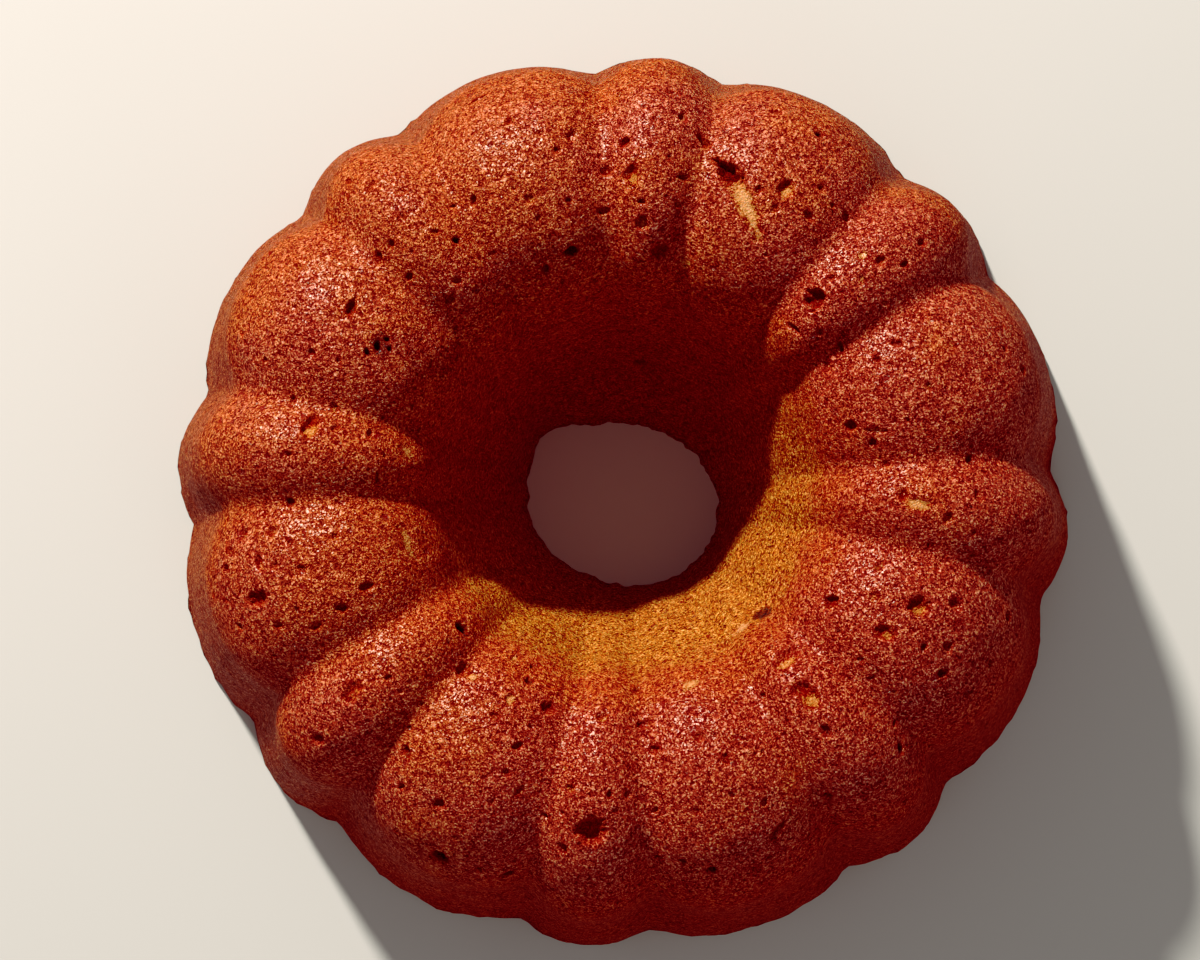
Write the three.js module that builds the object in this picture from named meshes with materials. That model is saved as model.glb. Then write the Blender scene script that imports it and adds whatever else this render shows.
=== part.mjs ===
// A fluted ring cake, baked in a tube pan and turned out crown upwards.
// Millimetres, +Z up. The origin is at the middle of the base, and the middle of one
// narrow rib points along +X.

import * as THREE from "three";
import { mergeVertices } from "three/addons/utils/BufferGeometryUtils.js";

// The two sections that the fluting blends between, each named by the same sizes:
// the wall's radius at the base, the ring of the crown's highest line and its height,
// the radii that the crown is rounded to outwards and inwards of that ring, and the
// centre hole's radius at the base.
const lobeSection = {
  baseRadius: 122,
  crestRadius: 76,
  crestHeight: 88,
  outerRounding: 34,
  innerRounding: 30,
  holeRadius: 24,
};
const valleySection = {
  baseRadius: 118,
  crestRadius: 74.5,
  crestHeight: 84,
  outerRounding: 29,
  innerRounding: 26,
  holeRadius: 24.5,
};

// Round the ring a broad lobe and a narrow rib take turns, with a valley between them.
const flutePairs = 8;
const lobeSteps = 11;
const ribSteps = 7;
const stepsRound = flutePairs * (lobeSteps + ribSteps);
const stepAngle = (2 * Math.PI) / stepsRound;

// How square the fluting is across: 2 is a round rib, more is a flatter pillow.
const lobeFullness = 2.4;
const ribFullness = 2;

// Steps along the section.
const wallSteps = 4;
const outerCrownSteps = 7;
const innerCrownSteps = 7;
const funnelSteps = 4;
const baseSteps = 3;

const crustColour = "#9c3f22";
const crustRoughness = 0.6;

// A straight wall leans so that it meets the crown's rounding smoothly. Its steepness is
// where the line from the wall's foot to the rounding has the rounding's own slope, and it
// settles in a few repeats.
function wallSlope(reach, height, rounding) {
  const settlingRepeats = 40;
  let slope = Math.PI / 2;
  for (let repeat = 0; repeat < settlingRepeats; repeat += 1) {
    const rise = height - rounding * (1 - Math.cos(slope));
    const run = reach - rounding * Math.sin(slope);
    slope = Math.atan2(rise, run);
  }
  return slope;
}

// A point of the crown where its surface falls away at the given slope, outwards if the
// slope is positive and towards the hole if it is negative.
function crownPoint(sizes, slope) {
  const rounding = slope > 0 ? sizes.outerRounding : sizes.innerRounding;
  const across = sizes.crestRadius + rounding * Math.sin(slope);
  const up = sizes.crestHeight - rounding * (1 - Math.cos(slope));
  return new THREE.Vector2(across, up);
}

// One radial section: up the outer wall, over the crown, down the funnel and back along
// the base to where it began.
function sectionPoints(sizes) {
  const { baseRadius, crestRadius, crestHeight, outerRounding, innerRounding, holeRadius } = sizes;
  const outerSlope = wallSlope(baseRadius - crestRadius, crestHeight, outerRounding);
  const innerSlope = wallSlope(crestRadius - holeRadius, crestHeight, innerRounding);
  const wallFoot = new THREE.Vector2(baseRadius, 0);
  const wallTop = crownPoint(sizes, outerSlope);
  const funnelTop = crownPoint(sizes, -innerSlope);
  const holeFoot = new THREE.Vector2(holeRadius, 0);

  const points = [];
  for (let step = 0; step < wallSteps; step += 1) {
    points.push(wallFoot.clone().lerp(wallTop, step / wallSteps));
  }
  for (let step = 0; step < outerCrownSteps; step += 1) {
    points.push(crownPoint(sizes, outerSlope * (1 - step / outerCrownSteps)));
  }
  for (let step = 0; step < innerCrownSteps; step += 1) {
    points.push(crownPoint(sizes, (-innerSlope * step) / innerCrownSteps));
  }
  for (let step = 0; step < funnelSteps; step += 1) {
    points.push(funnelTop.clone().lerp(holeFoot, step / funnelSteps));
  }
  for (let step = 0; step <= baseSteps; step += 1) {
    points.push(holeFoot.clone().lerp(wallFoot, step / baseSteps));
  }
  return points;
}

// 0 at the middle of a lobe or rib and 1 in the valleys beside it.
function valleyShare(step) {
  const pairSteps = lobeSteps + ribSteps;
  const halfRib = ribSteps / 2;
  const halfLobe = lobeSteps / 2;
  const fromRib = THREE.MathUtils.euclideanModulo(step + halfRib, pairSteps) - halfRib;
  if (fromRib <= halfRib) {
    return Math.pow(Math.abs(fromRib) / halfRib, ribFullness);
  }
  const fromLobe = fromRib - halfRib - halfLobe;
  return Math.pow(Math.abs(fromLobe) / halfLobe, lobeFullness);
}

// The lobe section is turned round the axis, then each radial slice is moved towards
// the valley section by its share.
function cakeGeometry() {
  const lobe = sectionPoints(lobeSection);
  const valley = sectionPoints(valleySection);
  const geometry = new THREE.LatheGeometry(lobe, stepsRound);
  const position = geometry.attributes.position;
  const halfRib = ribSteps / 2;
  for (let slice = 0; slice <= stepsRound; slice += 1) {
    const turn = (slice % stepsRound) - halfRib;
    const share = valleyShare(turn);
    for (let place = 0; place < lobe.length; place += 1) {
      const point = lobe[place].clone().lerp(valley[place], share);
      const angle = turn * stepAngle;
      const vertex = slice * lobe.length + place;
      position.setXYZ(vertex, point.x * Math.cos(angle), point.x * Math.sin(angle), point.y);
    }
  }
  geometry.deleteAttribute("normal");
  geometry.deleteAttribute("uv");
  const closed = mergeVertices(geometry);
  closed.computeVertexNormals();
  return closed;
}

const crustMaterial = new THREE.MeshStandardMaterial({
  color: crustColour,
  roughness: crustRoughness,
  metalness: 0,
});

const cake = new THREE.Mesh(cakeGeometry(), crustMaterial);
cake.name = "cake";

const ringCake = new THREE.Group();
ringCake.add(cake);

export default ringCake;
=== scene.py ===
import math
import random

import bmesh
import bpy
from mathutils import Matrix, Vector, kdtree, noise


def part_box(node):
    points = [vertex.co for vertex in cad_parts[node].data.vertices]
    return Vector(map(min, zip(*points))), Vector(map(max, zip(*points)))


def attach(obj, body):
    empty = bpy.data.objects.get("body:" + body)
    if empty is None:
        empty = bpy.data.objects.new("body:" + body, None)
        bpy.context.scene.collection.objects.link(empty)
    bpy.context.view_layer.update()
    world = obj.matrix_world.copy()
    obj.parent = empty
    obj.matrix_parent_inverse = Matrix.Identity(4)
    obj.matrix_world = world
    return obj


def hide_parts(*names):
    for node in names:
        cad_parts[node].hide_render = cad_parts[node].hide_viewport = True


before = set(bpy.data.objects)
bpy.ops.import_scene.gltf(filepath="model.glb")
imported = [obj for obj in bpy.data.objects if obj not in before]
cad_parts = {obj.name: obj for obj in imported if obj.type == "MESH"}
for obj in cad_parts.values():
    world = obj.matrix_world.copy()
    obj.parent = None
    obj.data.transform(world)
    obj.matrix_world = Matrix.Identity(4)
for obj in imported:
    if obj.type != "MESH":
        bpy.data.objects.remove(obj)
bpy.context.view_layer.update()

mm = 0.001
cakeLow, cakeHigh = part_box("cake")
cakeHeight = cakeHigh.z - cakeLow.z
cakeRadius = (cakeHigh.x - cakeLow.x) / 2


def smoothStep(low, high, value):
    share = min(max((value - low) / (high - low), 0), 1)
    return share * share * (3 - 2 * share)


def mixed(low, high, share):
    return low + (high - low) * share


# The cake's form: two radial sections, and fluting that goes from one to the other.

lobeSection = {
    "rim": cakeRadius + 0.8 * mm,        # the wall's foot
    "crest": 76 * mm,                    # ring of the crown's highest line
    "height": cakeHeight,
    "outerRounding": 34 * mm,            # how round the crown is, outwards of the crest
    "innerRounding": 30 * mm,            # and towards the hole
    "hole": 24 * mm,                     # the funnel's foot
}
valleySection = {
    "rim": cakeRadius - 3.6 * mm,
    "crest": 74.5 * mm,
    "height": cakeHeight - 4.6 * mm,
    "outerRounding": 28 * mm,
    "innerRounding": 26 * mm,
    "hole": 24.5 * mm,
}
fluting = {
    "pairs": 8,
    "ribDegrees": 17.5,                  # a lobe takes the rest of its 45 degrees
    "ribFullness": 2.0,
    "lobeFullness": 2.4,
    "valleyRounding": 1.6 * mm,
    "funnelCalm": 0.5,                   # how much of the fluting is lost down the funnel
    "funnelPlaces": (2.3, 3.3),
}
gridSize = {
    "round": 336,
    "wall": 30,
    "outerCrown": 34,
    "innerCrown": 28,
    "funnel": 26,
    "base": 8,
}


def wallSlope(reach, height, rounding):
    # the slope at which wall and crown join smoothly, which a few repeats settle on
    settlingRepeats = 40
    slope = math.pi / 2
    for _ in range(settlingRepeats):
        rise = height - rounding * (1 - math.cos(slope))
        run = reach - rounding * math.sin(slope)
        slope = math.atan2(rise, run)
    return slope


def crownPoint(sizes, slope):
    rounding = sizes["outerRounding"] if slope > 0 else sizes["innerRounding"]
    return Vector((sizes["crest"] + rounding * math.sin(slope), 0,
                   sizes["height"] - rounding * (1 - math.cos(slope))))


def sectionShape(sizes):
    outer = wallSlope(sizes["rim"] - sizes["crest"], sizes["height"], sizes["outerRounding"])
    inner = wallSlope(sizes["crest"] - sizes["hole"], sizes["height"], sizes["innerRounding"])
    return {"sizes": sizes, "outer": outer, "inner": inner,
            "foot": Vector((sizes["rim"], 0, 0)), "wallTop": crownPoint(sizes, outer),
            "funnelTop": crownPoint(sizes, -inner), "holeFoot": Vector((sizes["hole"], 0, 0))}


def sectionPoint(shape, place):
    # place runs 0 to 1 up the wall, to 2 at the crest, to 3 where the funnel begins,
    # to 4 down the funnel and to 5 back along the base
    if place < 1:
        return shape["foot"].lerp(shape["wallTop"], place)
    if place < 2:
        return crownPoint(shape["sizes"], shape["outer"] * (2 - place))
    if place < 3:
        return crownPoint(shape["sizes"], -shape["inner"] * (place - 2))
    if place < 4:
        return shape["funnelTop"].lerp(shape["holeFoot"], place - 3)
    return shape["holeFoot"].lerp(shape["foot"], place - 4)


def placeOn(shape, point):
    # which place of the section a point of it is
    sizes = shape["sizes"]
    onBase = 0.01 * mm
    nearlyRim = 0.9999
    if point.z < onBase:
        across = (point.x - sizes["hole"]) / (sizes["rim"] - sizes["hole"])
        return 0 if across > nearlyRim else 4 + max(across, 0)
    if point.x > sizes["crest"]:
        slope = math.atan2(point.x - sizes["crest"], point.z - sizes["height"] + sizes["outerRounding"])
        if slope < shape["outer"]:
            return 2 - slope / shape["outer"]
        return min(point.z / shape["wallTop"].z, 1)
    slope = math.atan2(sizes["crest"] - point.x, point.z - sizes["height"] + sizes["innerRounding"])
    if slope < shape["inner"]:
        return 2 + slope / shape["inner"]
    return 3 + min(max(1 - point.z / shape["funnelTop"].z, 0), 1)


def valleyShare(angle, radius):
    # 0 on the middle of a lobe or rib, 1 in the valleys beside it
    pair = 2 * math.pi / fluting["pairs"]
    halfRib = math.radians(fluting["ribDegrees"]) / 2
    halfLobe = pair / 2 - halfRib
    fromRib = abs((angle + pair / 2) % pair - pair / 2)
    if fromRib <= halfRib:
        across, half, fullness = fromRib / halfRib, halfRib, fluting["ribFullness"]
    else:
        across, half, fullness = (pair / 2 - fromRib) / halfLobe, halfLobe, fluting["lobeFullness"]
    soft = fluting["valleyRounding"] / (half * radius)
    top = math.sqrt(1 + soft ** 2)
    return ((top - math.sqrt((1 - across) ** 2 + soft ** 2)) / (top - soft)) ** fullness


# Bubbles baked against the tin, burnt spots and the tear where it stuck.

# degrees round the ring, mm out from its axis, mm long, wide and deep, and degrees of lean;
# bake is -1 where pale crumb shows, 0 for plain crust and 1 where it is burnt, and a taper
# narrows one end
pitColumns = ("degrees", "out", "long", "wide", "deep", "lean", "bake", "taper")
pitRows = [
    (71.3, 73.4, 23, 4.4, 1.5, -46, -1.0, 0.5),   # the tear, its strip and its deep upper end
    (72.3, 72.4, 18, 3.2, 0.5, -46, -0.42, 0.4),
    # its burnt tint is painted shade, darkening the whole of its deep hollow
    (77.0, 81.2, 11, 3.8, 5.0, -44, 0.7, -0.8),
    (66.0, 81.5, 5, 4.6, 2.2, 20, -0.9),
    (66.0, 75.5, 2.2, 1.8, 1.2, 0, 0.1),
    (70.2, 78.0, 2.6, 2.0, 1.4, 30, 0.1),
    (60.0, 79.2, 3.0, 2.0, 1.6, 80, 0.3),
    (61.0, 87.2, 2.6, 1.8, 1.3, 70, 0.2),
    (65.8, 98.5, 2.4, 1.8, 1.6, 0, 0.9),
    (81.8, 90.2, 4.2, 3.0, 2.2, -50, 0.3),
    (84.0, 76.5, 3.0, 2.0, 1.5, 60, 0.3),
    (99.5, 66.5, 3.2, 2.2, 1.4, 80, 0.1),
    (96.0, 100.0, 3.4, 2.2, 1.6, 0, 0.0),
    (103.2, 88.5, 2.6, 2.0, 1.4, 0, 0.2),
    (18.5, 57.0, 3.6, 3.0, 2.6, 0, 0.4),
    (16.0, 62.5, 8, 1.4, 0.8, 14, -0.5),
    (13.5, 61.0, 2.2, 1.8, 1.2, 0, 0.7),
    (20.0, 47.5, 9, 1.0, 1.0, 88, 0.3),
    (47.0, 56.0, 4.6, 1.8, 1.8, 75, 0.3),
    (48.5, 64.0, 6, 4.6, 4.5, -10, 0.5),
    (45.5, 82.5, 3, 2.6, 1.8, 0, -0.2),
    (48.5, 80.5, 3.4, 2.2, 1.0, 0, -0.8),
    (42.5, 87.0, 2.8, 1.8, 1.6, 0, 0.3),
    (30.7, 68.3, 1.8, 1.8, 1.4, 0, 0.5),
    (1.5, 67.8, 4.4, 2.6, 2.0, 70, 0.1),
    (0.0, 71.0, 8, 3.4, 1.2, 6, -0.95),
    (86.0, 57.0, 5, 4.0, 2.2, 70, 0.5),
    (91.3, 63.0, 3.8, 3.4, 2.2, 20, -0.7),
    (94.0, 75.0, 6, 4.0, 2.4, 0, -0.8),
    (95.3, 84.5, 3.4, 2.6, 2.4, 70, 0.3),
    (88.0, 97.5, 4, 1.4, 1.2, 80, 0.2),
    (87.5, 34.0, 3.4, 4.2, 3.0, 90, 0.6),
    (108.0, 57.7, 3.8, 2.8, 2.0, 80, 0.9),
    (130.0, 72.0, 2.2, 1.9, 1.7, 0, 1.0),
    (123.6, 79.5, 3.2, 2.0, 2.0, 20, 0.4),
    (140.0, 82.5, 2.5, 2.3, 1.8, 0, 0.4),
    (143.0, 84.5, 3.8, 2.2, 2.0, 20, 0.3),
    (152.7, 79.2, 4.6, 2.8, 2.6, 65, 0.5),
    (106.5, 83.0, 2.4, 1.8, 1.4, 40, 0.2),
    (104.0, 87.0, 2.4, 1.6, 1.4, 0, 0.2),
    (116.0, 103.0, 5.4, 1.3, 1.2, 85, 0.0),
    (136.0, 96.0, 4.6, 1.6, 1.2, 75, 0.0),
    (163.0, 83.0, 2.4, 1.8, 1.4, 0, 0.3),
    (154.5, 67.3, 1.9, 1.6, 1.5, 0, 1.0),        # four little holes close together, burnt
    (156.6, 68.6, 2.8, 2.0, 2.2, 60, 1.0),
    (158.8, 70.0, 2.2, 1.6, 1.5, 30, 1.0),
    (156.0, 65.6, 1.6, 1.4, 1.2, 0, 1.0),
    (156.3, 68.0, 6.4, 5.4, 0.3, 30, 0.62),
    (175.3, 78.6, 6.2, 4.4, 2.4, 80, -0.85),
    (184.3, 60.3, 3, 1.3, 1.5, 85, 0.5),
    (201.0, 55.0, 12, 3.6, 0.6, 82, -0.6),
    (207.7, 68.0, 3.2, 2.2, 1.8, 0, 0.3),
    (210.5, 84.3, 3.2, 2.0, 1.5, 0, -0.3),
    (192.8, 97.5, 3.6, 2.6, 1.8, 70, -0.3),
    (193.2, 89.0, 3.2, 2.2, 1.8, 20, 0.2),
    (197.8, 92.0, 4.4, 2.4, 2.0, 70, -0.3),
    (195.0, 101.0, 3.0, 2.2, 1.8, 0, -0.4),
    (197.3, 101.5, 3.0, 2.4, 2.0, 0, 0.4),
    (198.8, 88.0, 2.2, 1.8, 1.3, 0, 0.2),
    (203.0, 94.0, 5.2, 4.4, 2.8, 0, 0.2),
    (200.5, 81.5, 2.2, 1.8, 1.3, 0, 0.2),
    (196.0, 72.0, 2.4, 1.8, 1.2, 0, 0.1),
    (209.5, 76.0, 3.2, 2.2, 2.0, 30, 0.4),
    (207.8, 92.0, 2.6, 2.0, 1.5, 0, 0.1),
    (190.0, 93.0, 2.2, 1.8, 1.3, 0, 0.1),
    (190.5, 105.5, 2.6, 2.0, 1.4, 0, 0.2),
    (174.5, 63.0, 2.4, 2.2, 1.5, 0, 0.2),
    (175.0, 72.0, 2.2, 1.8, 1.3, 0, 0.2),
    (180.8, 82.0, 2.2, 1.6, 1.2, 0, 0.2),
    (227.3, 53.8, 4.4, 2.4, 4.0, 76, 1.0),
    (234.6, 59.5, 5, 3.0, 2.0, 0, 0.0),
    (237.0, 60.0, 3, 2.6, 0.5, 0, -0.9),
    (256.6, 58.0, 3.4, 3.2, 2.2, 0, 0.1),
    (253.2, 69.5, 3.2, 2.0, 1.8, 40, 0.3),
    (249.0, 50.8, 2.8, 2.0, 1.5, 80, 0.1),
    (243.0, 51.0, 2.6, 1.8, 0.8, 0, -0.8),
    (247.5, 60.2, 3.0, 2.4, 1.0, 0, -0.7),
    (249.5, 51.2, 3, 1.8, 1.4, 80, -0.3),
    (222.8, 84.5, 6.4, 4.0, 1.8, 0, -0.2),
    (225.0, 98.5, 4.2, 3.2, 1.6, 0, 0.2),
    (236.3, 87.7, 3.2, 2.8, 2.2, 0, 0.5),
    (245.2, 91.0, 3, 2.4, 1.8, 40, 0.4),
    (248.8, 103.0, 5.2, 4.2, 3.0, 80, 0.9),
    (258.3, 105.3, 3.8, 3.0, 2.4, 0, 0.8),
    (269.4, 86.0, 7.6, 7.2, 4.2, 60, 0.1),       # the biggest bubble, on a rib
    (269.4, 57.8, 3.4, 3.0, 1.8, 60, -0.5),
    (278.5, 49.8, 2.4, 1.8, 1.4, 0, 0.2),
    (281.0, 65.9, 3.2, 2.8, 2.0, 80, 0.1),
    (294.8, 72.0, 2.6, 1.8, 1.4, 0, 0.2),
    (307.5, 61.8, 2.2, 1.8, 1.3, 0, 0.3),
    (291.0, 65.0, 2.6, 2.2, 1.4, 80, 0.1),
    (317.0, 58.6, 8, 4.6, 2.0, 88, -0.75),
    (315.0, 68.5, 9, 5.0, 2.6, 0, -0.75),
    (334.5, 58.2, 3.8, 3.4, 3.0, 80, 0.3),
    (339.5, 67.0, 3.4, 3.0, 1.3, 0, -0.2),
    (334.2, 73.2, 6, 3.6, 2.2, 0, -0.6),
    (341.3, 77.6, 6.6, 4.8, 2.8, 0, -0.7),
    (344.3, 86.5, 4, 2.6, 1.8, 0, 0.3),
    (333.4, 91.0, 2.4, 2.0, 1.8, 0, 0.7),
    (321.0, 97.0, 2.8, 2.6, 1.8, 0, 0.9),
    (287.5, 98.0, 2.4, 2.2, 1.6, 0, 0.9),
    (283.5, 96.5, 1.8, 1.8, 1.4, 0, 0.7),
    (298.3, 93.8, 4.6, 1.8, 1.6, 65, 0.4),
    (352.5, 47.0, 5.4, 1.4, 1.4, 80, 0.3),
    (314.5, 46.2, 6, 6.5, 0.3, 80, -0.8),        # flat marks: pale crumb, then scorched
    (293.0, 52.4, 6.4, 4.2, 0.2, 55, -0.8),
    (177.5, 53.5, 5, 5.0, 0.2, 80, -0.55),
    (45.0, 47.0, 3, 3.0, 0.4, 80, -0.8),
    (79.5, 55.0, 4, 3.4, 0.2, 80, -0.5),
    (321.5, 46.0, 6, 7.0, 0.3, 80, 0.8),
]
smallPits = {
    "number": 180,
    "seed": 11,
    "long": (1.3, 3.0),
    "out": (50, 106),
    "mostlyShort": 2.2,                  # more than 1 makes long ones rarer
    "mostlyOuter": 0.8,                  # less than 1 puts more of them near the rim
    "wideShares": (0.55, 1),             # of their length
    "deepShares": (0.35, 0.7),
    "bakes": (-0.4, 0, 0, 0.2, 0.6),
    "apart": 3.2 * mm,
}
pitEdge = {
    "half": 0.57,                        # a little over half of a pit's size, for the soft edge
    "ragged": ((1.1 * mm, 0.32), (3 * mm, 0.3)),
    "reach": 1.5,                        # times its half length, and then the spare
    "spare": 1 * mm,
    "hollow": (0.45, 1.03),              # from its floor to where its hollow ends
    "tint": (0.55, 1.08),                # and from full tint to none
    "bare": (0.1, 1.05),                 # and from bare crumb to crust
    "depth": 0.66,                       # how much of its stated depth it gets
    "paintedShadeDepth": 2.5,                    # mm deep for the full tint: painted shade, darker in deeper pits
    "cleaned": 0.7,                      # how much crumb a later pit takes away
    "shallow": 1.6,                      # mm deep, and from here crumb shows only on the side lit by the key light: painted light
    "paintedLightSide": Vector((0.53, -0.85, 0)),
    "paintedLightBand": (-0.5, 0.4),
}
refining = {
    "reach": 1.25,                       # how much wider than a pit the finer faces go
    "spare": 0.7 * mm,
    "cuts": 3,
}


def placeAtRadius(shape, radius):
    # the upper surface runs steadily inwards, so halving finds the place
    halvings = 30
    low, high = 0.0, 4.0
    for _ in range(halvings):
        middle = (low + high) / 2
        if sectionPoint(shape, middle).x > radius:
            low = middle
        else:
            high = middle
    return low


def aroundAxis(point, angle):
    return Vector((point.x * math.cos(angle), point.x * math.sin(angle), point.z))


def makePit(shape, row):
    pit = dict(zip(pitColumns, row))
    angle = math.radians(pit["degrees"])
    place = placeAtRadius(shape, pit["out"] * mm)
    centre = aroundAxis(sectionPoint(shape, place), angle)
    littleFurther = 0.02
    inwards = (aroundAxis(sectionPoint(shape, place + littleFurther), angle) - centre).normalized()
    sideways = Vector((-math.sin(angle), math.cos(angle), 0))
    lean = math.radians(pit["lean"])
    pit["centre"] = centre
    pit["longWay"] = inwards * math.cos(lean) + sideways * math.sin(lean)
    pit["wideWay"] = sideways * math.cos(lean) - inwards * math.sin(lean)
    pit["halfLong"] = pit["long"] * mm * pitEdge["half"]
    pit["halfWide"] = pit["wide"] * mm * pitEdge["half"]
    return pit


def makeSmallPits(shape, pits):
    rng = random.Random(smallPits["seed"])
    scattered = []
    while len(scattered) < smallPits["number"]:
        size = mixed(*smallPits["long"], rng.random() ** smallPits["mostlyShort"])
        degrees = rng.uniform(0, 360)
        outwards = mixed(*smallPits["out"], rng.random() ** smallPits["mostlyOuter"])
        wide = size * rng.uniform(*smallPits["wideShares"])
        deep = size * rng.uniform(*smallPits["deepShares"])
        row = (degrees, outwards, size, wide, deep, rng.uniform(-90, 90), rng.choice(smallPits["bakes"]))
        small = makePit(shape, row)
        near = [pit for pit in pits + scattered
                if (pit["centre"] - small["centre"]).length < pit["halfLong"] + smallPits["apart"]]
        if not near:
            scattered.append(small)
    return scattered


def pitDistance(pit, point):
    # 0 in the middle and 1 at the pit's ragged edge
    narrowest = 0.3
    away = point - pit["centre"]
    onLong = away.dot(pit["longWay"]) / pit["halfLong"]
    onWide = away.dot(pit["wideWay"]) / pit["halfWide"] / max(1 - pit.get("taper", 0) * onLong, narrowest)
    wobble = sum(noise.noise(point / grain) * share for grain, share in pitEdge["ragged"])
    return math.hypot(onLong, onWide) * (1 + wobble)


def refineAtPits(bm, pits):
    tree = kdtree.KDTree(len(bm.faces))
    bm.faces.ensure_lookup_table()
    for face in bm.faces:
        tree.insert(face.calc_center_median(), face.index)
    tree.balance()
    edges = {}                           # kept in order, so that every run numbers the faces alike
    for pit in pits:
        alongIt = pit["halfLong"] * refining["reach"] + refining["spare"]
        acrossIt = pit["halfWide"] * refining["reach"] + refining["spare"]
        for centre, index, _ in tree.find_range(pit["centre"], alongIt):
            if abs((centre - pit["centre"]).dot(pit["wideWay"])) < acrossIt:
                edges.update(dict.fromkeys(bm.faces[index].edges))
    bmesh.ops.subdivide_edges(bm, edges=list(edges), cuts=refining["cuts"], use_grid_fill=True)


def markPits(bm, pits, layers):
    # paints each pit's tint, crumb and scorching, and gives how far it pushes each point in
    tree = kdtree.KDTree(len(bm.verts))
    for index, vert in enumerate(bm.verts):
        tree.insert(vert.co, index)
    tree.balance()
    bm.verts.ensure_lookup_table()
    pushes = [0.0] * len(bm.verts)
    for pit in pits:
        reach = pit["halfLong"] * pitEdge["reach"] + pitEdge["spare"]
        for point, index, _ in tree.find_range(pit["centre"], reach):
            distance = pitDistance(pit, point)
            hollow = 1 - smoothStep(*pitEdge["hollow"], distance)
            tint = 1 - smoothStep(*pitEdge["tint"], distance)
            vert = bm.verts[index]
            pushes[index] = max(pushes[index], hollow * pit["deep"] * pitEdge["depth"] * mm)
            vert[layers["crumb"]] *= 1 - pitEdge["cleaned"] * hollow if pit["bake"] > 0 else 1
            # painted shade: the pit tint grows with the pit's depth
            vert[layers["pit"]] = max(vert[layers["pit"]], tint * min(pit["deep"] / pitEdge["paintedShadeDepth"], 1))
            # painted light: in deeper pits pale crumb is kept to the wall that faces the key light
            side = (point - pit["centre"]).dot(pitEdge["paintedLightSide"]) / pit["halfWide"]
            litSideShare = 1 if pit["deep"] < pitEdge["shallow"] else smoothStep(*pitEdge["paintedLightBand"], side)
            bare = (1 - smoothStep(*pitEdge["bare"], distance)) * litSideShare * max(-pit["bake"], 0)
            vert[layers["crumb"]] = max(vert[layers["crumb"]], bare)
            vert[layers["burnt"]] = max(vert[layers["burnt"]], tint * max(pit["bake"], 0))
    return pushes


# Its surface: lumps of crumb under the crust, a crumbly foot and an uneven hole.

lumps = {
    "sizes": [                           # mm from one lump to the next, and mm high
        (27, 0.75),
        (11, 0.38),
        (5, 0.16),
    ],
    "footShare": 0.3,                    # they are lower at the foot
    "settled": 10 * mm,
}
footEdge = {
    "height": 7 * mm,
    "ragged": 0.9 * mm,
    "inset": 0.4,                        # how far it draws in on the whole
    "crumb": 4.2 * mm,
    "fineCrumb": (0.45, 0.5),            # size and height beside the larger crumb
    "places": (4.9, 5),                  # it reaches this far under the cake
}
holeLip = {
    "height": 26 * mm,                   # fades out above this
    "wide": (1.6 * mm, 97),              # narrowest this way, in degrees
    "oval": (2.2 * mm, 170),             # longest this way
    "torn": (3.0 * mm, 148, 17),         # one chipped place: depth, direction, degrees across
    "ragged": 0.8 * mm,
    "grain": 4 * mm,
    "fineGrain": (2.3, 0.6),             # how much finer, and its share
    "places": (4, 4.12),
}
underside = {
    "hollows": 0.7 * mm,
    "crumb": 6 * mm,
    "fromHole": (4.01, 4.05),
    "toFoot": (4.93, 4.98),
}


def lumpHeight(point):
    return sum(noise.noise(point / (far * mm) + Vector((far, 0, 0))) * high * mm
               for far, high in lumps["sizes"])


def lipShift(angle, height):
    # how far the hole's edge stands out from a true circle
    shift = -holeLip["wide"][0] * math.cos(angle - math.radians(holeLip["wide"][1]))
    shift += holeLip["oval"][0] * math.cos(2 * (angle - math.radians(holeLip["oval"][1])))
    fromTorn = (math.degrees(angle) - holeLip["torn"][1] + 180) % 360 - 180
    shift += holeLip["torn"][0] * math.exp(-(fromTorn / holeLip["torn"][2]) ** 2)
    edge = Vector((math.cos(angle), math.sin(angle), 0)) * lobeSection["hole"] / holeLip["grain"]
    finer, finerShare = holeLip["fineGrain"]
    shift += holeLip["ragged"] * (noise.noise(edge) + finerShare * noise.noise(edge * finer))
    return shift * (1 - smoothStep(0, holeLip["height"], height))


def surfaceMove(vert, place, push):
    # how far a point of the smooth form moves: lumps and pits, then the hole, foot and underside
    height = vert.co.z
    flat = Vector((vert.co.x, vert.co.y, 0)) / math.hypot(vert.co.x, vert.co.y)
    move = Vector((0, 0, 0))
    if 0 < place < 4:
        settled = smoothStep(0, lumps["settled"], height)
        move = vert.normal * (lumpHeight(vert.co) * mixed(lumps["footShare"], 1, settled) - push)
    if place > 3:
        fading = 1 - smoothStep(*holeLip["places"], place)
        move += flat * lipShift(math.atan2(vert.co.y, vert.co.x), height) * fading
    if place < 1 or place > footEdge["places"][0]:
        finer, finerShare = footEdge["fineCrumb"]
        crumb = noise.noise(vert.co / footEdge["crumb"])
        crumb += noise.noise(vert.co / (footEdge["crumb"] * finer)) * finerShare
        low = 1 - smoothStep(0, footEdge["height"], height)
        nearFoot = smoothStep(*footEdge["places"], place if place > 4 else 5)
        move += flat * footEdge["ragged"] * (crumb - footEdge["inset"]) * low * nearFoot
    if underside["fromHole"][0] < place < underside["toFoot"][1]:
        hollow = max(noise.noise(vert.co / underside["crumb"]), 0) * underside["hollows"]
        inwardFade = 1 - smoothStep(*underside["toFoot"], place)
        move.z += hollow * smoothStep(*underside["fromHole"], place) * inwardFade
    return move


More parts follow.
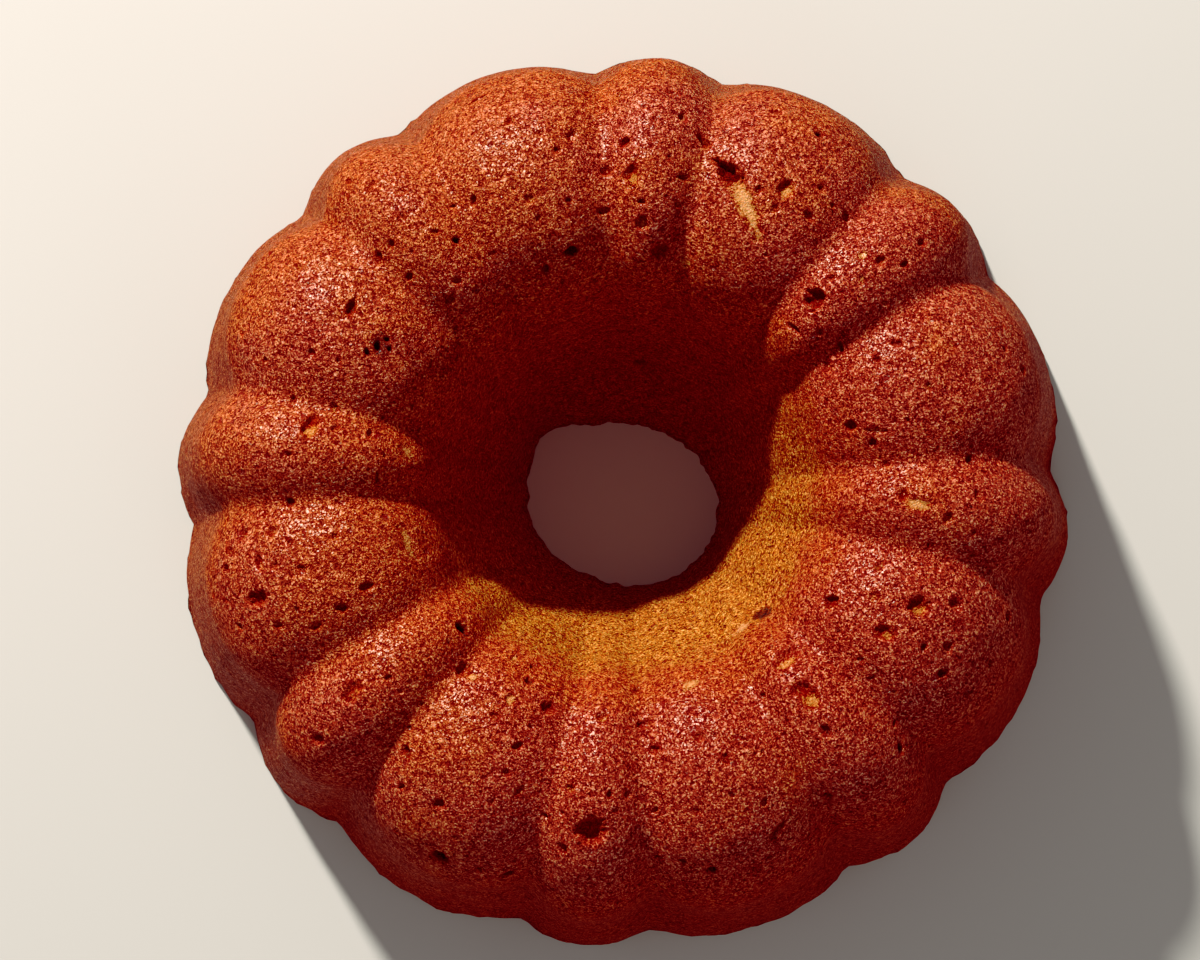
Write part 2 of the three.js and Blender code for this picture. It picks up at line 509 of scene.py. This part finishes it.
def spinBlank(lobe):
    # the lobe's section is drawn from two arcs and three straights, then spun into a ring
    weldReach = 0.001 * mm
    bm = bmesh.new()
    wallTop = bm.verts.new(lobe["wallTop"])
    last = wallTop
    for name, turn in (("outerCrown", "outer"), ("innerCrown", "inner")):
        rounding = lobeSection[name.replace("Crown", "Rounding")]
        centre = Vector((lobeSection["crest"], 0, cakeHeight - rounding))
        arc = bmesh.ops.spin(bm, geom=[last], cent=centre, axis=(0, 1, 0), angle=-lobe[turn],
                             steps=gridSize[name])
        last = [piece for piece in arc["geom_last"] if isinstance(piece, bmesh.types.BMVert)][0]
    wallFoot = bm.verts.new(lobe["foot"])
    holeFoot = bm.verts.new(lobe["holeFoot"])
    straights = {
        "wall": bm.edges.new((wallFoot, wallTop)),
        "funnel": bm.edges.new((last, holeFoot)),
        "base": bm.edges.new((holeFoot, wallFoot)),
    }
    for name, edge in straights.items():
        bmesh.ops.subdivide_edges(bm, edges=[edge], cuts=gridSize[name] - 1)
    bmesh.ops.spin(bm, geom=bm.verts[:] + bm.edges[:], cent=(0, 0, 0), axis=(0, 0, 1),
                   angle=2 * math.pi, steps=gridSize["round"], use_merge=True)
    bmesh.ops.remove_doubles(bm, verts=bm.verts[:], dist=weldReach)
    return bm


def fluteBlank(bm, lobe, valley, layers):
    for vert in bm.verts:
        radius = math.hypot(vert.co.x, vert.co.y)
        angle = math.atan2(vert.co.y, vert.co.x)
        place = placeOn(lobe, Vector((radius, 0, vert.co.z)))
        kept = 1 - fluting["funnelCalm"] * smoothStep(*fluting["funnelPlaces"], place)
        share = valleyShare(angle, radius) * kept
        point = sectionPoint(lobe, place).lerp(sectionPoint(valley, place), share)
        vert.co = aroundAxis(point, angle)
        vert[layers["place"]] = place
    bmesh.ops.recalc_face_normals(bm, faces=bm.faces[:])
    bm.normal_update()


def makeCake():
    lobe = sectionShape(lobeSection)
    valley = sectionShape(valleySection)
    bm = spinBlank(lobe)
    pits = [makePit(lobe, row) for row in pitRows]
    pits += makeSmallPits(lobe, pits)
    refineAtPits(bm, pits)
    print("cake:", len(pits), "pits,", len(bm.faces), "faces")
    layers = {name: bm.verts.layers.float.new(name) for name in ("place", "pit", "crumb", "burnt")}
    pushes = markPits(bm, pits, layers)
    fluteBlank(bm, lobe, valley, layers)
    moves = [surfaceMove(vert, vert[layers["place"]], pushes[vert.index]) for vert in bm.verts]
    for vert, move in zip(bm.verts, moves):
        vert.co += move
        vert.co.z = max(vert.co.z, 0)
    return bm


bm = makeCake()
mesh = bpy.data.meshes.new("ringCake")
bm.to_mesh(mesh)
bm.free()
for polygon in mesh.polygons:
    polygon.use_smooth = True
ringCake = bpy.data.objects.new("ringCake", mesh)
bpy.context.scene.collection.objects.link(ringCake)
mesh.calc_loop_triangles()
print("cake:", len(mesh.vertices), "vertices", len(mesh.loop_triangles), "triangles")


# Materials: one node at a time, and colours written as sRGB hex values.

def linearColour(text):
    values = [int(text[start:start + 2], 16) / 255 for start in (1, 3, 5)]
    linear = [value / 12.92 if value <= 0.04045 else ((value + 0.055) / 1.055) ** 2.4 for value in values]
    return (*linear, 1)


def addNode(material, kind, settings=None, inputs=None):
    # each input is given a number, a hex colour or another node's output
    node = material.node_tree.nodes.new(kind)
    for name, value in (settings or {}).items():
        if name != "stops":
            setattr(node, name, value)
            continue
        while len(node.color_ramp.elements) < len(value):
            node.color_ramp.elements.new(0.5)
        for element, (position, colour) in zip(node.color_ramp.elements, value):
            element.position = position
            element.color = linearColour(colour)
    for name, value in (inputs or {}).items():
        if isinstance(value, bpy.types.NodeSocket):
            material.node_tree.links.new(value, node.inputs[name])
        else:
            node.inputs[name].default_value = linearColour(value) if isinstance(value, str) else value
    return node.outputs


# Browned crust of an oil-based pumpkin cake, baked against an oiled fluted tin and turned out.
# The crumb's bubbles leave it pebbled; it is deep red-brown between the pebbles and tan on top
# of them, partly its own tone and partly painted shade in the gaps, and the oil leaves a speckled sheen.
crustLooks = {
    "pebble": 0.56,                      # mm across
    "worm": 0.728,
    "clump": 1.5,
    "swell": 2.6,
    "blotch": 7,
    "patch": 34,
    "pebbleMix": (0.52, 0.32, 0.16),     # wormy noise, round tops and clumps
    "poreSpacing": 3.6,
    "poreRarity": 2.5,                   # more makes wide pores rarer
    "poreWidth": 0.22,
    "streaksRound": 60,                  # streaks to each radian of the ring
    "streakRise": 3.4,                   # how much closer they lie up the ring than round it
    "streakMix": (0.95, 0.45, -0.18),    # pebbles, streaks and a shift
    "grainStops": (0.18, 0.55, 0.88),    # how high on a pebble each of a kind's colours lies
    "red": ("#520a06", "#a33a20", "#e28761"),        # between pebbles (partly painted shade), on their sides, on top
    "orange": ("#5c1005", "#a94319", "#e58b51"),
    "gold": ("#480b03", "#b05712", "#ffbe6a"),
    "wall": ("#3a0905", "#7c2c14", "#bc6238"),
    "wallShare": 0.8,
    "crumb": "#d2905c",
    "crumbShade": "#ab521f",
    "crumbStops": (0.3, 0.72),
    "crumbFray": (1.8, 0.1, 0.6),        # how ragged, and from where to where it comes in
    # the pit colour is painted shade in pits and pores
    "pit": "#74120a",
    "pitShadeShare": 0.5,
    "poreShadeShare": 0.7,
    "burnt": "#1c0807",
    "burntFray": (2.2, 0.35, 1.05),
    "grainHeight": 0.6,                  # mm
    "swellHeight": 0.9,
    "filmHeight": 0.6,
    "poreDepth": 0.9,                    # beside a pebble's height
    "funnelHeight": 0.85,
}
crustSheen = {
    "roughness": (0.62, 0.36),           # between the pebbles and on top of them
    "gloss": (0.75, 0.12),               # where it is oily and where it is dry
    "film": (0.95, 0.03),
    "filmTops": (0.48, 0.76),            # how high on a pebble the film starts and is full
}
crustShader = {
    "IOR": 1.46,
    "Coat Roughness": 0.35,
    "Coat IOR": 1.47,
    "Subsurface Weight": 0.4,
    "Subsurface Radius": (1.0, 0.25, 0.1),
    "Subsurface Scale": 3 * mm,
}
crustZones = {
    # from and to, in places up and over the section
    "funnel": (2.86, 3.22),
    "wall": (1.6, 0.75),
    "shoulder": (1.75, 1.1),
    "lip": (2.35, 2.9),
    "wander": 0.4,                       # how far the edges of the funnel's and wall's crust stray
}
# Painted light: the crust is tinted paler and more orange on the sides that face the key light.
paintedLightSides = {
    # which way, and from and to in how much the crust faces that way
    "gold": ((0.45, -0.89, 0), -0.7, 0.6),           # the funnel is palest here, on its side lit by the key light: painted light
    # painted light: the shoulder facing the key light turns more orange
    "orange": ((-0.2, 0.98, 0), 0.1, 0.9),
    # painted light: the side facing the key light turns more orange
    "litWarmth": ((-0.95, 0.3, 0), -1, 1),
}
# the orange tint follows random patches and their wander, the hole's lip, and painted light on the lit
# shoulder and side
orangeCauses = {
    "litShoulder": 0.15,
    # the hole's lip is tinted more orange all round: partly the crust's tone, partly painted sheen and
    # bounce light
    "lip": 0.3,
    "wander": 0.35,
    "litWarmth": 0.2,
    "range": (0.53, 0.8),
}
# the kinds of node that the crust is made of
mathNode = "ShaderNodeMath"
vectorNode = "ShaderNodeVectorMath"
joinNode = "ShaderNodeCombineXYZ"
splitNode = "ShaderNodeSeparateXYZ"
rangeNode = "ShaderNodeMapRange"
noiseNode = "ShaderNodeTexNoise"
cellNode = "ShaderNodeTexVoronoi"
rampNode = "ShaderNodeValToRGB"
mixNode = "ShaderNodeMix"
bumpNode = "ShaderNodeBump"
times, plus, minus, timesPlus, power, larger = [
    {"operation": name} for name in ("MULTIPLY", "ADD", "SUBTRACT", "MULTIPLY_ADD", "POWER", "MAXIMUM")]
smooth = {"interpolation_type": "SMOOTHSTEP"}
mixColours = {"data_type": "RGBA"}


def crustPatterns(crust, coords, facing, height):
    looks = crustLooks
    patterns = {}
    for name, detail, rough, twist in (
            ("worm", 2.0, 0.6, 1.2), ("clump", 2.0, 0.5, 0.6), ("swell", 2.0, 0.5, 0.0),
            ("blotch", 2.0, 0.5, 0.0), ("patch", 3.0, 0.55, 0.0)):
        patterns[name] = addNode(crust, noiseNode, {}, {
            "Vector": coords, "Scale": 1 / (looks[name] * mm), "Detail": detail,
            "Roughness": rough, "Distortion": twist})[0]

    # pebbles: wormy noise, rounder cells and looser clumps together
    wormShare, topShare, clumpShare = looks["pebbleMix"]
    cells = addNode(crust, cellNode, {"feature": "SMOOTH_F1"}, {
        "Vector": coords, "Scale": 1 / (looks["pebble"] * mm), "Smoothness": 0.5})["Distance"]
    roundTops = addNode(crust, rangeNode, smooth, {"Value": cells, "From Min": 0.75, "From Max": 0.1})[0]
    worms, clumps = [
        addNode(crust, rangeNode, smooth, {"Value": patterns[name], "From Min": 0.3, "From Max": 0.7})[0]
        for name in ("worm", "clump")]
    pebbles = addNode(crust, mathNode, times, {0: clumps, 1: clumpShare})[0]
    pebbles = addNode(crust, mathNode, timesPlus, {0: roundTops, 1: topShare, 2: pebbles})[0]
    patterns["pebbles"] = addNode(crust, mathNode, timesPlus, {0: worms, 1: wormShare, 2: pebbles})[0]

    # streaks are drawn round the ring and up it, so that they lean to the axis
    pebbleShare, streakShare, shift = looks["streakMix"]
    up = addNode(crust, mathNode, times, {0: height, 1: looks["streakRise"]})[0]
    rise = addNode(crust, joinNode, {}, {2: up})[0]
    leaning = addNode(crust, vectorNode, plus, {0: facing, 1: rise})[0]
    streaks = addNode(crust, noiseNode, {}, {
        "Vector": leaning, "Scale": looks["streaksRound"], "Detail": 3.0, "Roughness": 0.65})[0]
    streaky = addNode(crust, mathNode, times, {0: streaks, 1: streakShare})[0]
    streaky = addNode(crust, mathNode, timesPlus, {0: patterns["pebbles"], 1: pebbleShare, 2: streaky})[0]
    patterns["streakGrain"] = addNode(crust, mathNode, plus, {0: streaky, 1: shift})[0]

    # pores smaller than the modelled ones; the pit colour they take is painted shade
    pores = addNode(crust, cellNode, {}, {"Vector": coords, "Scale": 1 / (looks["poreSpacing"] * mm)})
    chance = addNode(crust, "ShaderNodeSeparateColor", {}, {0: pores["Color"]})[0]
    rare = addNode(crust, mathNode, power, {0: chance, 1: looks["poreRarity"]})[0]
    poreEdge = addNode(crust, mathNode, times, {0: rare, 1: looks["poreWidth"]})[0]
    inside = addNode(crust, mathNode, minus, {0: pores["Distance"], 1: poreEdge})[0]
    patterns["pore"] = addNode(crust, rangeNode, smooth, {
        "Value": inside, "From Min": 0.06, "From Max": 0.0})[0]
    return patterns


def crustShares(crust, facing, place, patterns):
    # where each kind of crust lies, with edges that wander
    wander = addNode(crust, mathNode, minus, {0: patterns["blotch"], 1: 0.5})[0]
    wandering = addNode(crust, mathNode, timesPlus, {0: wander, 1: crustZones["wander"], 2: place})[0]
    shares = {}
    for name, value in (("funnel", wandering), ("wall", wandering), ("shoulder", place), ("lip", place)):
        low, high = crustZones[name]
        shares[name] = addNode(crust, rangeNode, smooth, {
            "Value": value, "From Min": low, "From Max": high})[0]
    sides = {}
    for name, (side, low, high) in paintedLightSides.items():
        along = addNode(crust, vectorNode, {"operation": "DOT_PRODUCT"}, {0: facing, 1: side})["Value"]
        sides[name] = addNode(crust, rangeNode, smooth, {
            "Value": along, "From Min": low, "From Max": high})[0]
    # painted light: the funnel's gold shows only on its side lit by the key light
    shares["gold"] = addNode(crust, mathNode, times, {0: shares["funnel"], 1: sides["gold"]})[0]
    shares["wall"] = addNode(crust, mathNode, times, {0: shares["wall"], 1: crustLooks["wallShare"]})[0]

    # painted light: the shoulder and the side that face the key light are tinted more orange
    litShoulder = addNode(crust, mathNode, times, {0: shares["shoulder"], 1: sides["orange"]})[0]
    warmer = patterns["patch"]
    for name, cause in (("litShoulder", litShoulder), ("lip", shares["lip"]), ("wander", wander),
                        ("litWarmth", sides["litWarmth"])):
        warmer = addNode(crust, mathNode, timesPlus, {0: cause, 1: orangeCauses[name], 2: warmer})[0]
    low, high = orangeCauses["range"]
    shares["orange"] = addNode(crust, rangeNode, smooth, {
        "Value": warmer, "From Min": low, "From Max": high})[0]
    return shares


def crustColour(crust, patterns, shares, marks):
    looks = crustLooks
    tints = {}
    # each ramp's dark end lies between the pebbles: partly the crust's tone, partly painted shade in the
    # gaps
    for name, grain in (("red", "pebbles"), ("orange", "pebbles"),
                        ("gold", "streakGrain"), ("wall", "streakGrain")):
        stops = list(zip(looks["grainStops"], looks[name]))
        tints[name] = addNode(crust, rampNode, {"stops": stops}, {0: patterns[grain]})[0]
    colour = tints["red"]
    for name in ("orange", "gold", "wall"):
        colour = addNode(crust, mixNode, mixColours, {0: shares[name], 6: colour, 7: tints[name]})[2]

    # pits are redder and darker inside, more so the deeper they are, which is painted shade in their
    # hollows, and show crumb or scorching on their floors
    frayed = addNode(crust, mathNode, minus, {0: patterns["worm"], 1: 0.5})[0]
    markShares = []
    for name in ("crumb", "burnt"):
        fray, low, high = looks[name + "Fray"]
        edge = addNode(crust, mathNode, timesPlus, {0: frayed, 1: fray, 2: marks[name]})[0]
        markShares.append(addNode(crust, rangeNode, smooth, {
            "Value": edge, "From Min": low, "From Max": high})[0])
    crumbShare, burntShare = markShares
    pitShadeShare = addNode(crust, mathNode, times, {0: marks["pit"], 1: looks["pitShadeShare"]})[0]
    # painted shade: the pores take the pit colour
    poreShadeShare = addNode(crust, mathNode, times, {0: patterns["pore"], 1: looks["poreShadeShare"]})[0]
    crumbGrain = addNode(crust, mathNode, plus, {0: marks["crumb"], 1: patterns["streakGrain"]})[0]
    crumbGrain = addNode(crust, mathNode, times, {0: crumbGrain, 1: 0.5})[0]
    stops = list(zip(looks["crumbStops"], (looks["crumbShade"], looks["crumb"])))
    crumbTint = addNode(crust, rampNode, {"stops": stops}, {0: crumbGrain})[0]
    for share, tint in ((pitShadeShare, looks["pit"]), (poreShadeShare, looks["pit"]), (crumbShare, crumbTint),
                        (burntShare, looks["burnt"])):
        colour = addNode(crust, mixNode, mixColours, {0: share, 6: colour, 7: tint})[2]
    return colour


def crustRelief(crust, patterns, shares):
    # pebbles and pores, and the finest of the lumps that the mesh is too coarse for
    looks = crustLooks
    calm = addNode(crust, rangeNode, {}, {
        "Value": shares["funnel"], "To Min": 1.0, "To Max": looks["funnelHeight"]})[0]
    relief = addNode(crust, mathNode, times, {0: patterns["pebbles"], 1: calm})[0]
    relief = addNode(crust, mathNode, timesPlus, {0: patterns["pore"], 1: -looks["poreDepth"], 2: relief})[0]
    grain = addNode(crust, bumpNode, {}, {
        "Strength": 1.0, "Distance": looks["grainHeight"] * mm, "Height": relief})[0]
    return addNode(crust, bumpNode, {}, {
        "Strength": 0.9, "Distance": looks["swellHeight"] * mm,
        "Height": patterns["swell"], "Normal": grain})[0]


def makeCrust():
    crust = bpy.data.materials.new("brownedPumpkinCrust")
    crust.use_nodes = True
    shader = crust.node_tree.nodes["Principled BSDF"]
    coords = addNode(crust, "ShaderNodeTexCoord")["Object"]
    marks = {name: addNode(crust, "ShaderNodeAttribute", {"attribute_name": name})["Fac"]
             for name in ("place", "pit", "crumb", "burnt")}
    apart = addNode(crust, splitNode, {}, {0: coords})
    flat = addNode(crust, joinNode, {}, {0: apart[0], 1: apart[1]})[0]
    facing = addNode(crust, vectorNode, {"operation": "NORMALIZE"}, {0: flat})[0]
    patterns = crustPatterns(crust, coords, facing, apart[2])
    shares = crustShares(crust, facing, marks["place"], patterns)
    pebbles = patterns["pebbles"]

    # the oil's sheen sits on the pebbles' tops, and is rubbed off the wall and out of the pits
    low, high = crustSheen["roughness"]
    rough = addNode(crust, rangeNode, {}, {"Value": pebbles, "To Min": low, "To Max": high})[0]
    dry = addNode(crust, mathNode, larger, {0: marks["pit"], 1: shares["shoulder"]})[0]
    low, high = crustSheen["gloss"]
    glossy = addNode(crust, rangeNode, {}, {"Value": dry, "To Min": low, "To Max": high})[0]
    gloss = addNode(crust, mathNode, times, {0: pebbles, 1: glossy})[0]
    low, high = crustSheen["filmTops"]
    tops = addNode(crust, rangeNode, smooth, {"Value": pebbles, "From Min": low, "From Max": high})[0]
    low, high = crustSheen["film"]
    oily = addNode(crust, rangeNode, {}, {"Value": dry, "To Min": low, "To Max": high})[0]
    film = addNode(crust, mathNode, times, {0: tops, 1: oily})[0]
    filmTop = addNode(crust, bumpNode, {}, {
        "Strength": 0.9, "Distance": crustLooks["filmHeight"] * mm, "Height": patterns["clump"]})[0]

    for name, output in (("Base Color", crustColour(crust, patterns, shares, marks)), ("Roughness", rough),
                         ("Specular IOR Level", gloss), ("Coat Weight", film),
                         ("Normal", crustRelief(crust, patterns, shares)), ("Coat Normal", filmTop)):
        crust.node_tree.links.new(output, shader.inputs[name])
    for name, value in crustShader.items():
        shader.inputs[name].default_value = value
    return crust



mesh.materials.append(makeCrust())
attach(ringCake, "root")
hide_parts("cake")
print("crust: painted")

# Floor, camera and light.

floorLooks = {
    "size": 6,                           # metres
    "colour": "#bfbbb7",
    "roughness": 0.8,
}
bpy.ops.mesh.primitive_plane_add(size=floorLooks["size"], location=(0, 0, 0))
floor = bpy.context.object
floor.name = "floor"
paper = bpy.data.materials.new("paleFloor")
paper.use_nodes = True
paperShader = paper.node_tree.nodes["Principled BSDF"]
paperShader.inputs["Base Color"].default_value = linearColour(floorLooks["colour"])
paperShader.inputs["Roughness"].default_value = floorLooks["roughness"]
floor.data.materials.append(paper)

view = {
    "distance": 750 * mm,
    "tilt": 3.4,
    "roll": 5.0,
    "aim": (-6.1 * mm, 4.9 * mm),
    "width": 329.8 * mm,                 # what the picture takes in, at the aim's distance
    "sensor": 36,
}
turn = Matrix.Rotation(math.radians(view["roll"]), 3, "Z")
tilt = math.radians(view["tilt"])
lookDown = turn @ Vector((0, math.sin(tilt), -math.cos(tilt)))
right = turn @ Vector((1, 0, 0))
up = right.cross(lookDown)
aim = turn @ Vector((*view["aim"], 0))
camera = bpy.data.objects.new("camera", bpy.data.cameras.new("camera"))
bpy.context.scene.collection.objects.link(camera)
basis = Matrix((right, up, -lookDown)).transposed()
camera.matrix_world = Matrix.Translation(aim - lookDown * view["distance"]) @ basis.to_4x4()
camera.data.sensor_width = view["sensor"]
camera.data.lens = view["sensor"] * view["distance"] / view["width"]
bpy.context.scene.camera = camera

lamps = {
    # degrees round and up, metres off and across, watts and colour
    "key": (122, 35.5, 2.0, 0.14, 79, (1, 0.945, 0.86)),
    "fill": (300, 18, 2.0, 1.2, 6, (1, 0.97, 0.94)),        # low in front, for the shaded side
}
sky = {
    "colour": (1, 0.97, 0.95, 1),
    "strength": 0.32,
}
tones = {
    # green's and blue's curves start lower, which keeps the shaded crust a deep clean red
    "toes": {1: (0.04, 0.009), 2: (0.035, 0.01)},
    "join": (0.13, 0.125),
}


def lamp(name, azimuth, height, far, size, watts, colour):
    light = bpy.data.lights.new(name, "AREA")
    light.shape = "DISK"
    light.size = size
    light.energy = watts
    light.color = colour
    lampObject = bpy.data.objects.new(name, light)
    bpy.context.scene.collection.objects.link(lampObject)
    away = Vector((math.cos(math.radians(azimuth)) * math.cos(math.radians(height)),
                   math.sin(math.radians(azimuth)) * math.cos(math.radians(height)),
                   math.sin(math.radians(height))))
    lampObject.location = away * far
    lampObject.rotation_euler = (-away).to_track_quat("-Z", "Y").to_euler()


for name, settings in lamps.items():
    lamp(name, *settings)
world = bpy.data.worlds.new("studio")
world.use_nodes = True
world.node_tree.nodes["Background"].inputs["Color"].default_value = sky["colour"]
world.node_tree.nodes["Background"].inputs["Strength"].default_value = sky["strength"]
bpy.context.scene.world = world
grade = bpy.context.scene.view_settings
grade.view_transform = "Standard"
grade.use_curve_mapping = True
for channel, toe in tones["toes"].items():
    points = grade.curve_mapping.curves[channel].points
    points.new(*toe)
    points.new(*tones["join"])
grade.curve_mapping.update()
print("stage: floor, camera and light")
